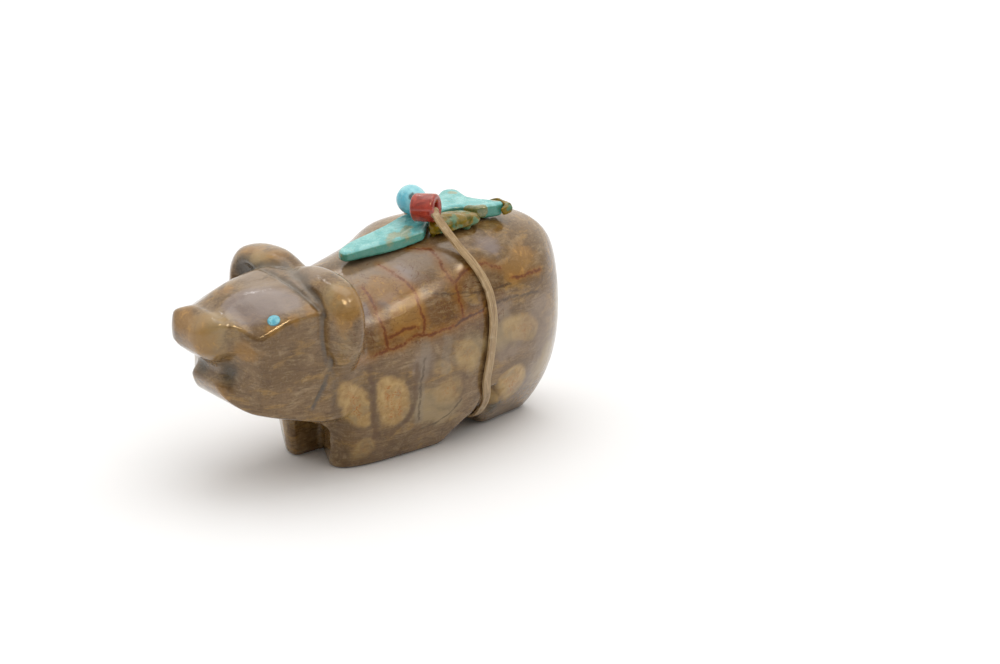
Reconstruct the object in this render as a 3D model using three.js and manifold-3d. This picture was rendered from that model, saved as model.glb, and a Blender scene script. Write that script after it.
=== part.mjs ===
// A small carved stone bear that carries an offering bundle on its back: a turquoise
// arrowhead, one turquoise bead and one coral bead, tied on with waxed sinew and set in glue.
// Millimetres, +Z up. The nose points to -X and the bear stands on z = 0, centred on the origin.

import * as THREE from 'three';
import Module from 'manifold-3d';
import { mergeVertices } from 'three/addons/utils/BufferGeometryUtils.js';

// Driving dimensions
const bearLength = 64;
const headTurn = 7; // degrees, the head looks a little to the bear's right
const meshStep = 1.65; // size of the flat facets that stand for the polished stone
const fitGap = 0.3; // left between two pieces that touch

const eyeDiameter = 1.9;
const eyeDepth = 1.2;
const eyeProud = 0.15;

const arrowLength = 26.5;
const arrowWidth = 7; // across the shoulders
const arrowThickness = 2;
const arrowEdge = 0.35; // rounding of its edges

const coralDiameter = 4.1;
const coralWidth = 3.6;
const blueDiameter = 4.3;
const blueWidth = 4.2;
const beadsApart = 0.3;

const tieWidth = 1.3;
const tieThickness = 0.4;

const glueInNotch = 10.4; // length of the glue in the notch of the arrowhead
const glueAtEnd = 4.4; // width of the glue behind its base

// The stone bear is a free form: its pose, outline and carving are written in hundredths of
// its length, with the nose at x = -50 and the rump at x = 50.
const share = bearLength / 100;

function clamp(v, low, high) {
  return Math.min(Math.max(v, low), high);
}

// Smaller of two fields, blended over a band of width k, so two forms flow into each other.
function blendMin(a, b, k) {
  const h = Math.max(k - Math.abs(a - b), 0) / k;
  return Math.min(a, b) - h * h * k / 4;
}

// Larger of two fields, blended over a band of width k, so two cuts meet in a rounded edge.
function blendMax(a, b, k) {
  return -blendMin(-a, -b, k);
}

// Smooth curve through a few [position, value] pairs.
function curve(pairs) {
  const slope = pairs.map((p, i) => {
    const a = pairs[Math.max(i - 1, 0)];
    const b = pairs[Math.min(i + 1, pairs.length - 1)];
    return (b[1] - a[1]) / (b[0] - a[0]);
  });
  return (x) => {
    if (x <= pairs[0][0]) return pairs[0][1];
    const last = pairs.length - 1;
    if (x >= pairs[last][0]) return pairs[last][1];
    let i = 0;
    while (x > pairs[i + 1][0]) i += 1;
    const [x0, y0] = pairs[i];
    const [x1, y1] = pairs[i + 1];
    const w = x1 - x0;
    const t = (x - x0) / w;
    const t2 = t * t;
    const t3 = t2 * t;
    return (2 * t3 - 3 * t2 + 1) * y0 + (t3 - 2 * t2 + t) * w * slope[i]
      + (3 * t2 - 2 * t3) * y1 + (t3 - t2) * w * slope[i + 1];
  };
}

// Closed smooth outline through a few points, as a list of corners.
function outline(points, corners = 6) {
  const path = new THREE.CatmullRomCurve3(
    points.map(([x, z]) => new THREE.Vector3(x, z, 0)), true, 'centripetal');
  return path.getPoints(points.length * corners).slice(0, -1).map((p) => [p.x, p.y]);
}

// Distance from a point to a closed outline, negative inside.
function outlineDistance(ring, x, z) {
  let nearest = Infinity;
  let inside = false;
  for (let i = 0, j = ring.length - 1; i < ring.length; j = i, i += 1) {
    const [ax, az] = ring[j];
    const [bx, bz] = ring[i];
    const dx = bx - ax;
    const dz = bz - az;
    const t = clamp(((x - ax) * dx + (z - az) * dz) / (dx * dx + dz * dz), 0, 1);
    const ex = x - ax - dx * t;
    const ez = z - az - dz * t;
    nearest = Math.min(nearest, ex * ex + ez * ez);
    if ((az > z) !== (bz > z) && x < ax + dx * (z - az) / dz) inside = !inside;
  }
  return inside ? -Math.sqrt(nearest) : Math.sqrt(nearest);
}

// Rounded ball-like form: centre, three half sizes, and how square it is.
function boulder(x, y, z, centre, half, squareness) {
  const n = squareness;
  const r = (Math.abs((x - centre[0]) / half[0]) ** n + Math.abs((y - centre[1]) / half[1]) ** n
    + Math.abs((z - centre[2]) / half[2]) ** n) ** (1 / n);
  return (r - 1) * Math.min(...half);
}

// Body and legs
const bodySide = outline([
  [-17.6, 24], [-17, 12], [-16.8, 4], [-15.6, -0.5], [-13, -5], [12, -5], [14.4, 0], [16.4, 3],
  [18.4, 5], [21, 5.2], [24.4, 3.8], [27, 1], [29, -2], [31, -5], [41, -5], [44, 0], [46.4, 7],
  [49.4, 16], [52.5, 27], [52.9, 36.5], [48, 45.8], [36, 57], [-10, 58], [-20, 44],
]);
const backLine = curve([
  [-22, 38], [-14, 40.4], [-6, 42.7], [4, 45.1], [11, 47.2], [17, 48.1], [28, 48], [38, 47.1],
  [45, 45.6], [51, 43],
]);
const backSquareness = curve([[-20, 2.1], [0, 2.1], [8, 2.3], [15, 2.9], [30, 2.7], [45, 2.4]]);
const bodyHalfWidth = curve([
  [-22, 14], [-16, 17], [-6, 19.6], [6, 20.8], [20, 21], [28, 20.6], [35, 19.4], [41, 17.4],
  [46, 14], [50, 9.6], [53, 5],
]);
const widestLevel = 25;
const footShare = curve([[-16, 0.52], [-8, 0.58], [0, 0.57], [15, 0.54], [33, 0.37], [46, 0.35]]);
const stride = 0.16; // how far the right forefoot stands ahead of the left, by width

function bodyForm(x, y, z) {
  const w = bodyHalfWidth(x);
  const side = Math.abs(y);
  let girth;
  if (z > widestLevel) {
    const n = backSquareness(x);
    const rise = (z - widestLevel) / (backLine(x) - widestLevel);
    girth = (((side / w) ** n + rise ** n) ** (1 / n) - 1) * w;
  } else {
    const drop = (widestLevel - z) / widestLevel;
    girth = side - w * (1 - (1 - footShare(x)) * drop * drop);
  }
  const ahead = stride * y * clamp(-x / 15, 0, 1);
  const profile = outlineDistance(bodySide, x + ahead, z);
  const flankHollow = boulder(x, side, z, [23, 16.6, 6], [3.2, 3.6, 6.4], 2);
  const rightLegFront = 0.48 * (y - 3.95) - 0.87 * (x + 18.1) - 0.12 * z;
  let form = blendMax(girth, profile, 3);
  form = blendMax(form, rightLegFront, 1.6);
  return blendMax(form, -flankHollow, 3);
}

// Notches ground between the two forefeet and between the two hind feet
function forefootNotch(x, y, z) {
  const slant = 0.853 * (x + 14.5) - 0.521 * (y + 5.6);
  return blendMax(blendMax(y - 3.4, slant, 1), z - 9.4, 3);
}

function hindfootNotch(x, y, z) {
  return blendMax(blendMax(Math.abs(y) - 2.6, 39 - x + 0.6 * z, 2), z - 9, 3);
}

// Head: face block with a short square muzzle
const headSide = outline([
  [-46.4, 32.6], [-47, 35], [-46.5, 37.2], [-45, 39.2], [-43.2, 40.3], [-41.4, 40.3], [-39.8, 40.8],
  [-37.4, 42.2], [-33, 43.4], [-27, 44.1], [-20, 44.6], [-14, 42], [-12, 34], [-12, 22], [-14, 13.8],
  [-20, 13.6], [-27, 15.3], [-34, 17.5], [-38.4, 19.3], [-41, 21.8], [-42.5, 25], [-43, 28.2],
  [-44.6, 30.6], [-45.8, 31.7],
]);
const headHalfWidth = curve([
  [-48, 2], [-47.2, 5], [-45.6, 7.6], [-43.4, 9], [-41, 9.5], [-39.6, 10.5], [-38, 13], [-36.4, 14.6],
  [-31, 15.6], [-26, 16.3], [-20, 17],
]);
const roofLine = curve([
  [-47, 41], [-41.5, 41.5], [-39, 42.4], [-36, 44], [-31, 45.8], [-26, 47], [-18, 48],
]);
const nearRoofPitch = curve([
  [-46, 0.2], [-42.5, 0.24], [-40, 0.42], [-37.5, 0.6], [-34, 0.56], [-30, 0.5],
]);
const farRoofPitch = curve([[-46, 0.4], [-40, 0.6], [-30, 0.62]]);
const crestWidth = 3;
const lip = 32.8; // height of the lower edge of the nose
const lipEdge = 3; // height over which the mouth deepens below it
const jawLevel = 20; // height where the mouth begins to run in over the jaw
const jawEdge = 7;
const mouthPinch = curve([[-40, 3.6], [-38.6, 2.4], [-36.4, 0]]); // how far the mouth runs in

// Distance from a point to a straight bar of round section that runs across the head
function crossBar(x, z, front, back, radius) {
  const dx = back[0] - front[0];
  const dz = back[1] - front[1];
  const t = clamp(((x - front[0]) * dx + (z - front[1]) * dz) / (dx * dx + dz * dz), 0, 1);
  return Math.hypot(x - front[0] - dx * t, z - front[1] - dz * t) - radius;
}

function headForm(x, y, z) {
  const side = outlineDistance(headSide, x, z);
  const low = Math.max(30 - z, 0) / 16;
  const pinch = mouthPinch(x) * clamp((lip - z) / lipEdge, 0, 1) * clamp((z - jawLevel) / jawEdge, 0, 1);
  const cheek = Math.abs(y) - headHalfWidth(x) * (1 - 0.22 * low * low) + pinch;
  const ridge = Math.hypot(y, crestWidth) - crestWidth;
  const pitch = y > 0 ? farRoofPitch(x) : nearRoofPitch(x);
  const roof = (z - roofLine(x) + pitch * ridge) / Math.hypot(1, pitch);
  const block = blendMax(blendMax(side, cheek, 2.4), roof, 1.1);
  const jawHollow = crossBar(x, z, [-47.4, 28], [-43, 27.2], 1.9);
  return blendMax(block, -jawHollow, 1.8);
}

// Ears on a broad ruff that runs round the neck. The far ear is a little larger.
function earForm(x, y, z) {
  const side = Math.abs(y - 0.7);
  const far = clamp((y + 5) / 12, 0, 1);
  const half = [4.8 + far, 10.1, 8.9 + 0.5 * far];
  const ear = boulder(x, side, z, [-18 - far, 12.8, 37.2 + 0.2 * far], half, 2.4);
  const top = z - 45.5 - 0.8 * far - 0.1 * (x + 21);
  const nearScoop = boulder(x, -y, z, [-25.2, 12.6, 42.2], [4, 5.6, 4], 2);
  const farScoop = boulder(x, y, z, [-25.8, 12.6, 40.2], [4.2, 6.4, 4.6], 2);
  const ruff = boulder(x, y, z, [-17.7, 0, 28.1], [5.8, 17, 16.6], 2.6);
  const hollowed = blendMax(blendMax(blendMax(ear, top, 1.6), -nearScoop, 0.8), -farScoop, 0.6);
  return blendMin(hollowed, ruff, 3.4);
}

// The whole bear before its soles are ground flat
const headPivot = [-18, -1];
const turn = THREE.MathUtils.degToRad(headTurn);

function toHead(x, y) {
  const dx = x - headPivot[0];
  const dy = y - headPivot[1];
  return [
    headPivot[0] + dx * Math.cos(turn) - dy * Math.sin(turn),
    dx * Math.sin(turn) + dy * Math.cos(turn),
  ];
}

function bearForm(x, y, z) {
  const [hx, hy] = toHead(x, y);
  const head = headForm(hx, hy, z);
  const ears = earForm(hx, hy, z);
  const body = bodyForm(x, y, z);
  let form = blendMin(head, ears, 1.5);
  form = blendMin(form, body, 2);
  form = blendMax(form, -forefootNotch(x, y, z), 1.2);
  form = blendMax(form, -hindfootNotch(x, y, z), 2);
  return blendMax(form, -z, 1.2);
}

// Facets: one point in each grid cell that the surface passes through, drawn onto the surface
function facetForm(form, low, high, step) {
  const count = [0, 1, 2].map((i) => Math.ceil((high[i] - low[i]) / step) + 1);
  const at = (i, n) => low[i] + n * step;
  const index = (i, j, k) => (i * count[1] + j) * count[2] + k;
  const value = new Float64Array(count[0] * count[1] * count[2]);
  for (let i = 0; i < count[0]; i += 1) {
    for (let j = 0; j < count[1]; j += 1) {
      for (let k = 0; k < count[2]; k += 1) value[index(i, j, k)] = form(at(0, i), at(1, j), at(2, k));
    }
  }
  const points = [];
  const cellPoint = new Map();
  const corners = [0, 1, 2, 3, 4, 5, 6, 7].map((c) => [c & 1, (c >> 1) & 1, (c >> 2) & 1]);
  const edges = [];
  corners.forEach((a, ia) => corners.forEach((b, ib) => {
    const apart = Math.abs(a[0] - b[0]) + Math.abs(a[1] - b[1]) + Math.abs(a[2] - b[2]);
    if (ia < ib && apart === 1) edges.push([ia, ib]);
  }));
  for (let i = 0; i < count[0] - 1; i += 1) {
    for (let j = 0; j < count[1] - 1; j += 1) {
      for (let k = 0; k < count[2] - 1; k += 1) {
        const v = corners.map((c) => value[index(i + c[0], j + c[1], k + c[2])]);
        const sum = [0, 0, 0];
        let hits = 0;
        edges.forEach(([a, b]) => {
          if ((v[a] < 0) === (v[b] < 0)) return;
          const t = v[a] / (v[a] - v[b]);
          for (let n = 0; n < 3; n += 1) sum[n] += corners[a][n] + t * (corners[b][n] - corners[a][n]);
          hits += 1;
        });
        if (hits > 0) {
          cellPoint.set(index(i, j, k), points.length);
          points.push([at(0, i + sum[0] / hits), at(1, j + sum[1] / hits), at(2, k + sum[2] / hits)]);
        }
      }
    }
  }
  points.forEach((p) => drawOnto(form, p, step));
  const triangles = [];
  const axes = [[1, 2], [2, 0], [0, 1]];
  for (let i = 1; i < count[0] - 1; i += 1) {
    for (let j = 1; j < count[1] - 1; j += 1) {
      for (let k = 1; k < count[2] - 1; k += 1) {
        for (let axis = 0; axis < 3; axis += 1) {
          const node = [i, j, k];
          const next = [i, j, k];
          next[axis] += 1;
          const a = value[index(...node)];
          const b = value[index(...next)];
          if ((a < 0) === (b < 0)) continue;
          const around = [[0, 0], [-1, 0], [-1, -1], [0, -1]].map(([p, q]) => {
            const cell = [i, j, k];
            cell[axes[axis][0]] += p;
            cell[axes[axis][1]] += q;
            return cellPoint.get(index(...cell));
          });
          if (b < 0) around.reverse();
          addQuad(points, triangles, around);
        }
      }
    }
  }
  return { points, triangles };
}

// Moves a point along the steepest slope until it lies on the surface, at most a cell away.
function drawOnto(form, p, reach) {
  const start = [...p];
  for (let pass = 0; pass < 4; pass += 1) {
    const f = form(...p);
    const d = 0.05;
    const g = [
      (form(p[0] + d, p[1], p[2]) - form(p[0] - d, p[1], p[2])) / (2 * d),
      (form(p[0], p[1] + d, p[2]) - form(p[0], p[1] - d, p[2])) / (2 * d),
      (form(p[0], p[1], p[2] + d) - form(p[0], p[1], p[2] - d)) / (2 * d),
    ];
    const steep = g[0] ** 2 + g[1] ** 2 + g[2] ** 2;
    for (let n = 0; n < 3; n += 1) {
      const moved = p[n] - f * g[n] / Math.max(steep, 0.2);
      p[n] = clamp(moved, start[n] - reach / 2, start[n] + reach / 2);
    }
  }
}

// Two triangles on a four-sided facet, split along its shorter diagonal.
function addQuad(points, triangles, [a, b, c, d]) {
  const span = (m, n) => Math.hypot(...points[m].map((v, i) => v - points[n][i]));
  if (span(a, c) <= span(b, d)) triangles.push([a, b, c], [a, c, d]);
  else triangles.push([a, b, d], [b, c, d]);
}

// Geometry of a form given in millimetres
function formGeometry(form, low, high, step) {
  const { points, triangles } = facetForm(form, low, high, step);
  const geometry = new THREE.BufferGeometry();
  geometry.setAttribute('position', new THREE.Float32BufferAttribute(points.flat(), 3));
  geometry.setIndex(triangles.flat());
  return geometry;
}

const wasm = await Module();
wasm.setup();

function solidOf(geometry) {
  const bare = geometry.clone();
  bare.deleteAttribute('normal');
  bare.deleteAttribute('uv');
  const merged = mergeVertices(bare, 1e-4);
  return new wasm.Manifold(new wasm.Mesh({
    numProp: 3,
    vertProperties: Float32Array.from(merged.attributes.position.array),
    triVerts: Uint32Array.from(merged.index.array),
  }));
}

function geometryOf(solid) {
  const { vertProperties, triVerts } = solid.getMesh();
  const geometry = new THREE.BufferGeometry();
  geometry.setAttribute('position', new THREE.Float32BufferAttribute(vertProperties, 3));
  geometry.setIndex(Array.from(triVerts));
  return geometry;
}

function cut(geometry, ...tools) {
  let solid = solidOf(geometry);
  tools.forEach((tool) => { solid = solid.subtract(solidOf(tool)); });
  return geometryOf(solid);
}

// The bear in millimetres, standing on its ground soles
function bearField(x, y, z) {
  return bearForm(x / share, y / share, z / share) * share;
}

const roomLow = [-54, -27, -3.1]; // corners of the room that the whole form lies in
const roomHigh = [54, 27, 57];
const soleReach = 0.25; // corners lower than this lie in the soles

function bearBody() {
  const low = roomLow.map((v) => v * share);
  const high = roomHigh.map((v) => v * share);
  const geometry = formGeometry(bearField, low, high, meshStep);
  const position = geometry.attributes.position;
  for (let i = 0; i < position.count; i += 1) {
    if (position.getZ(i) < soleReach) position.setZ(i, 0);
  }
  return geometry;
}

// Inlaid eyes: a flat-bottomed dot in a drilled socket, square to the cheek
const leftEyeSpot = [-32.9, -13.6, 40];
const rightEyeSpot = [-31.6, 15.6, 35];

function eyeFrame(eyeSpot) {
  const along = eyeSpot[0] - headPivot[0];
  const across = eyeSpot[1];
  const spot = [
    headPivot[0] + along * Math.cos(turn) + across * Math.sin(turn),
    headPivot[1] - along * Math.sin(turn) + across * Math.cos(turn),
    eyeSpot[2],
  ].map((v) => v * share);
  drawOnto(bearField, spot, eyeDiameter * 2);
  const d = eyeDiameter / 2;
  const outward = new THREE.Vector3(
    bearField(spot[0] + d, spot[1], spot[2]) - bearField(spot[0] - d, spot[1], spot[2]),
    bearField(spot[0], spot[1] + d, spot[2]) - bearField(spot[0], spot[1] - d, spot[2]),
    bearField(spot[0], spot[1], spot[2] + d) - bearField(spot[0], spot[1], spot[2] - d),
  ).normalize();
  const turned = new THREE.Quaternion().setFromUnitVectors(new THREE.Vector3(0, 1, 0), outward);
  return new THREE.Matrix4().compose(new THREE.Vector3(...spot), turned, new THREE.Vector3(1, 1, 1));
}

function eyeDot(frame) {
  const r = eyeDiameter / 2;
  const profile = [[0, -eyeDepth], [r, -eyeDepth], [r, 0], [r * 0.72, eyeProud * 0.8], [0, eyeProud]];
  const points = profile.map(([x, y]) => new THREE.Vector2(x, y));
  return new THREE.LatheGeometry(points, 16).applyMatrix4(frame);
}

function eyeSocket(frame) {
  const r = eyeDiameter / 2 + fitGap / 2;
  const floor = -eyeDepth - fitGap;
  const mouth = 2;
  const socket = new THREE.CylinderGeometry(r, r, mouth - floor, 16);
  return socket.translate(0, (mouth + floor) / 2, 0).applyMatrix4(frame);
}

// Arrowhead: a flat slab with a blunt point, two shoulders, two notches and a flared base. Its
// outline is written in shares of its length behind the point and of its width across.
const arrowTipAt = -6.4 * share;
const arrowShare = [
  [0, -0.17], [0.015, -0.24], [0.11, -0.35], [0.23, -0.5], [0.325, -0.62], [0.395, -0.72], [0.42, -0.74],
  [0.445, -0.69], [0.475, -0.6], [0.53, -0.42], [0.59, -0.3], [0.66, -0.22], [0.73, -0.2], [0.785, -0.3],
  [0.81, -0.5], [0.83, -0.62], [0.89, -0.7], [0.965, -0.77], [1, -0.68], [0.985, -0.5], [0.95, -0.25],
  [0.925, 0.05], [0.95, 0.36], [0.97, 0.63], [0.93, 0.78], [0.88, 0.75], [0.815, 0.55], [0.735, 0.28],
  [0.65, 0.17], [0.57, 0.18], [0.515, 0.25], [0.48, 0.27], [0.435, 0.245], [0.36, 0.215], [0.19, 0.21],
  [0.11, 0.19], [0.045, 0.12], [0.01, 0.04],
];
const arrowRing = outline(arrowShare.map(([s, t]) => [arrowTipAt + s * arrowLength, t * arrowWidth]), 2);

// Height of its upper face: it leans on the slope of the back and lies level over the loins
const arrowAbove = curve([[0, 1.12], [0.2, 0.92], [0.42, 0.62], [0.68, 0.78], [0.9, 1.04], [1, 1.18]]);
const arrowTaper = curve([[0, 0.7], [0.3, 0.95], [0.5, 1]]); // its thickness towards the point

function arrowTop(x) {
  const along = (x - arrowTipAt) / arrowLength;
  return backLine(x / share) * share + arrowAbove(along) * arrowThickness;
}

function arrowSlab() {
  const shape = new THREE.Shape(arrowRing.map(([x, y]) => new THREE.Vector2(x, y)));
  const slab = new THREE.ExtrudeGeometry(shape, {
    depth: arrowThickness - 2 * arrowEdge,
    bevelThickness: arrowEdge,
    bevelSize: arrowEdge,
    bevelOffset: -arrowEdge,
    bevelSegments: 1,
  });
  slab.translate(0, 0, arrowEdge - arrowThickness);
  const position = slab.attributes.position;
  for (let i = 0; i < position.count; i += 1) {
    const taper = arrowTaper((position.getX(i) - arrowTipAt) / arrowLength);
    position.setZ(i, position.getZ(i) * taper + arrowTop(position.getX(i)));
  }
  return slab;
}

// The back under the bundle, raised by the gap, to shape what lies on it
function backBed() {
  const middle = arrowTipAt + arrowLength / 2;
  const size = [arrowLength / 2 + 3, arrowWidth, 8];
  const height = backLine(middle / share) * share - 1;
  const form = (x, y, z) => Math.max(
    bearField(x, y, z) - fitGap,
    Math.abs(x - middle) - size[0],
    Math.abs(y) - size[1],
    Math.abs(z - height) - size[2],
  );
  const pad = 1.5;
  const low = [middle - size[0] - pad, -size[1] - pad, height - size[2] - pad];
  const high = [middle + size[0] + pad, size[1] + pad, height + size[2] + pad];
  return formGeometry(form, low, high, 1.3);
}

// Beads: both are threaded on the tie where it crosses the arrowhead
const beadSkew = 0.26; // sideways run of the thread, by its length across
const coralAt = -4.2; // middle of the coral bead across the back
const nearBeadEnd = coralAt - coralWidth / 2;
const blueAt = coralAt + coralWidth / 2 + beadsApart + blueWidth / 2;
const farBeadEnd = blueAt + blueWidth / 2;
const threadAt = arrowTipAt + 0.455 * arrowLength; // where the thread leaves the coral bead
const threadHeight = arrowTop(threadAt + 1) + fitGap + Math.max(coralDiameter, blueDiameter) / 2;
const holeDiameter = tieWidth + 2 * fitGap;

// Bead with a hole, from [share of half width, share of radius] points along its outside
function bead(diameter, width, outside, at) {
  const hole = holeDiameter / 2;
  const rim = outside.map(([s, t]) => new THREE.Vector2(t * diameter / 2, s * width / 2));
  const last = rim[rim.length - 1].y;
  const profile = [new THREE.Vector2(hole, rim[0].y), ...rim, new THREE.Vector2(hole, last),
    new THREE.Vector2(hole, rim[0].y)];
  const geometry = new THREE.LatheGeometry(profile, 18);
  geometry.rotateZ(-Math.atan(beadSkew));
  return geometry.translate(threadAt + beadSkew * (at - nearBeadEnd), at, threadHeight);
}

function coralBead() {
  const drum = [[-1, 0.7], [-0.96, 0.84], [-0.8, 0.95], [-0.5, 1], [0.5, 1], [0.8, 0.95], [0.96, 0.84],
    [1, 0.7]];
  return bead(coralDiameter, coralWidth, drum, coralAt);
}

function blueBead() {
  const nugget = [[-1, 0.55], [-0.9, 0.68], [-0.6, 0.85], [-0.2, 0.96], [0.2, 1], [0.55, 0.94],
    [0.82, 0.78], [0.97, 0.58], [1, 0.5]];
  return bead(blueDiameter, blueWidth, nugget, blueAt);
}

// Sinew: one flat band round the body, through both beads and under the belly arch
const tieLean = curve([[2, 22.6], [8, 22.3], [15, 18.7], [23, 18.8], [30, 19.5], [37, 18.8], [43, 16.6]]);
const tieVeer = 0.35; // how far the tie runs to the rear on the far side, by its way across
const tieLeaves = 43 * share; // height at which the tie leaves the flank for the beads

function tieAt(y, z) {
  const rise = clamp((z - tieLeaves) / (threadHeight - tieLeaves), 0, 1);
  const lean = THREE.MathUtils.lerp(tieLean(z / share) * share, threadAt, rise);
  const farRise = y > 0 ? clamp(2 * z / tieLeaves - 1, 0, 1) : 0;
  const veer = tieVeer * Math.max(y - farBeadEnd, 0) * farRise;
  return lean + veer + beadSkew * (y - nearBeadEnd) * Math.max(rise, farRise);
}

// Convex outline round a set of points, anticlockwise.
function hullOf(points) {
  const sorted = [...points].sort((a, b) => a[0] - b[0] || a[1] - b[1]);
  const half = (list) => list.reduce((chain, p) => {
    while (chain.length > 1) {
      const [a, b] = chain.slice(-2);
      if ((b[0] - a[0]) * (p[1] - a[1]) - (b[1] - a[1]) * (p[0] - a[0]) > 0) break;
      chain.pop();
    }
    return [...chain, p];
  }, []);
  return [...half(sorted).slice(0, -1), ...half([...sorted].reverse()).slice(0, -1)];
}

// It hugs the far side and runs straight from the near flank up to the coral bead.
function tieRing() {
  const heart = [0, 22 * share];
  const touched = [];
  for (let angle = 0; angle < 360; angle += 5) {
    const dy = Math.cos(THREE.MathUtils.degToRad(angle));
    const dz = Math.sin(THREE.MathUtils.degToRad(angle));
    let near = 0;
    let far = 40 * share;
    for (let pass = 0; pass < 24; pass += 1) {
      const r = (near + far) / 2;
      const y = heart[0] + dy * r;
      const z = heart[1] + dz * r;
      if (bearField(tieAt(y, z), y, z) < fitGap) near = r;
      else far = r;
    }
    touched.push([heart[0] + dy * far, heart[1] + dz * far]);
  }
  const threadUnder = threadHeight - tieThickness / 2;
  const farThread = [farBeadEnd + fitGap, threadUnder];
  const crossed = arrowRing.filter(([x, y]) => Math.abs(x - tieAt(y, arrowTop(x))) < tieWidth);
  const edges = crossed.map(([x, y]) => [y + Math.sign(y) * 2 * fitGap, arrowTop(x) + fitGap]);
  const farEdge = edges.reduce((a, b) => (b[0] > a[0] ? b : a));
  farEdge[0] = Math.max(farEdge[0], farThread[0] + fitGap);
  const around = hullOf([...touched, ...edges, [nearBeadEnd - fitGap, threadUnder], farThread]);
  const ring = [
    ...around.filter(([y, z]) => y <= farThread[0] || z < tieLeaves),
    ...touched.filter(([y, z]) => y > farEdge[0] && z >= tieLeaves),
    farEdge,
  ];
  const bearing = ([y, z]) => Math.atan2(z - heart[1], y - heart[0]);
  return ring.sort((a, b) => bearing(a) - bearing(b));
}

const tieStep = 1.8; // longest straight length of the band

function sinewTie() {
  const ring = tieRing();
  const stations = ring.flatMap((a, i) => {
    const b = ring[(i + 1) % ring.length];
    const pieces = Math.max(Math.round(Math.hypot(b[0] - a[0], b[1] - a[1]) / tieStep), 1);
    return Array.from({ length: pieces }, (_, n) => a.map((v, k) => v + (b[k] - v) * n / pieces));
  });
  const count = stations.length;
  const position = stations.flatMap(([y, z], i) => {
    const before = stations[(i + count - 1) % count];
    const after = stations[(i + 1) % count];
    const out = [after[1] - before[1], before[0] - after[0]];
    const size = Math.hypot(...out);
    const outer = [y + out[0] / size * tieThickness, z + out[1] / size * tieThickness];
    const x = tieAt(y, z);
    return [
      x - tieWidth / 2, y, z, x + tieWidth / 2, y, z,
      x + tieWidth / 2, ...outer, x - tieWidth / 2, ...outer,
    ];
  });
  const triangles = stations.flatMap((_, i) => {
    const here = i * 4;
    const next = ((i + 1) % count) * 4;
    return [0, 1, 2, 3].flatMap((k) => {
      const m = (k + 1) % 4;
      return [here + k, here + m, next + m, here + k, next + m, next + k];
    });
  });
  const geometry = new THREE.BufferGeometry();
  geometry.setAttribute('position', new THREE.Float32BufferAttribute(position, 3));
  geometry.setIndex(triangles);
  return geometry;
}

// Dried glue: blobs pressed between the back and the arrowhead, clear of both
function glueBlob(centre, half) {
  const form = (x, y, z) => blendMax(
    boulder(x, y, z, centre, half, 2.6),
    fitGap - Math.min(bearField(x, y, z), outlineDistance(arrowRing, x, y)),
    0.3,
  );
  const low = centre.map((v, i) => v - half[i] - 1);
  const high = centre.map((v, i) => v + half[i] + 1);
  return formGeometry(form, low, high, 0.75);
}

function notchGlue() {
  const x = arrowTipAt + 0.63 * arrowLength;
  const level = arrowTop(x) - arrowThickness / 2;
  return glueBlob([x, -0.6 * arrowWidth, level], [glueInNotch / 2, 0.38 * arrowWidth, 0.6 * arrowThickness]);
}

function endGlue() {
  const x = arrowTipAt + arrowLength;
  const level = arrowTop(x) - arrowThickness / 2;
  return glueBlob([x - 0.3, -0.6 * arrowWidth, level], [1.6, glueAtEnd / 2, 0.55 * arrowThickness]);
}

const stone = new THREE.MeshStandardMaterial({ color: 0x8f7355, roughness: 0.25, metalness: 0 });
const turquoise = new THREE.MeshStandardMaterial({ color: 0x5fbfc4, roughness: 0.35, metalness: 0 });
const skyTurquoise = new THREE.MeshStandardMaterial({ color: 0x4db4d6, roughness: 0.25, metalness: 0 });
const coral = new THREE.MeshStandardMaterial({ color: 0xa83a26, roughness: 0.2, metalness: 0 });
const sinew = new THREE.MeshStandardMaterial({ color: 0xb89a72, roughness: 0.6, metalness: 0 });
const glue = new THREE.MeshStandardMaterial({ color: 0x8a7a2c, roughness: 0.15, metalness: 0 });

const fetish = new THREE.Group();

function add(name, geometry, material) {
  const mesh = new THREE.Mesh(geometry, material);
  mesh.name = name;
  fetish.add(mesh);
}

const leftEye = eyeFrame(leftEyeSpot);
const rightEye = eyeFrame(rightEyeSpot);
add('bear', cut(bearBody(), eyeSocket(leftEye), eyeSocket(rightEye)), stone);
add('eye_left', eyeDot(leftEye), skyTurquoise);
add('eye_right', eyeDot(rightEye), skyTurquoise);
add('arrowhead', cut(arrowSlab(), backBed()), turquoise);
add('turquoise_bead', blueBead(), skyTurquoise);
add('coral_bead', coralBead(), coral);
add('sinew_tie', sinewTie(), sinew);
add('glue_notch', notchGlue(), glue);
add('glue_end', endGlue(), glue);

// Centre the whole on the origin, over its footprint
const middle = new THREE.Box3().setFromObject(fetish).getCenter(new THREE.Vector3());
fetish.children.forEach((mesh) => mesh.geometry.translate(-middle.x, -middle.y, 0));

export default fetish;
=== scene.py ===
import math

import bpy
import numpy as np
from mathutils import Matrix, Vector


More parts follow.
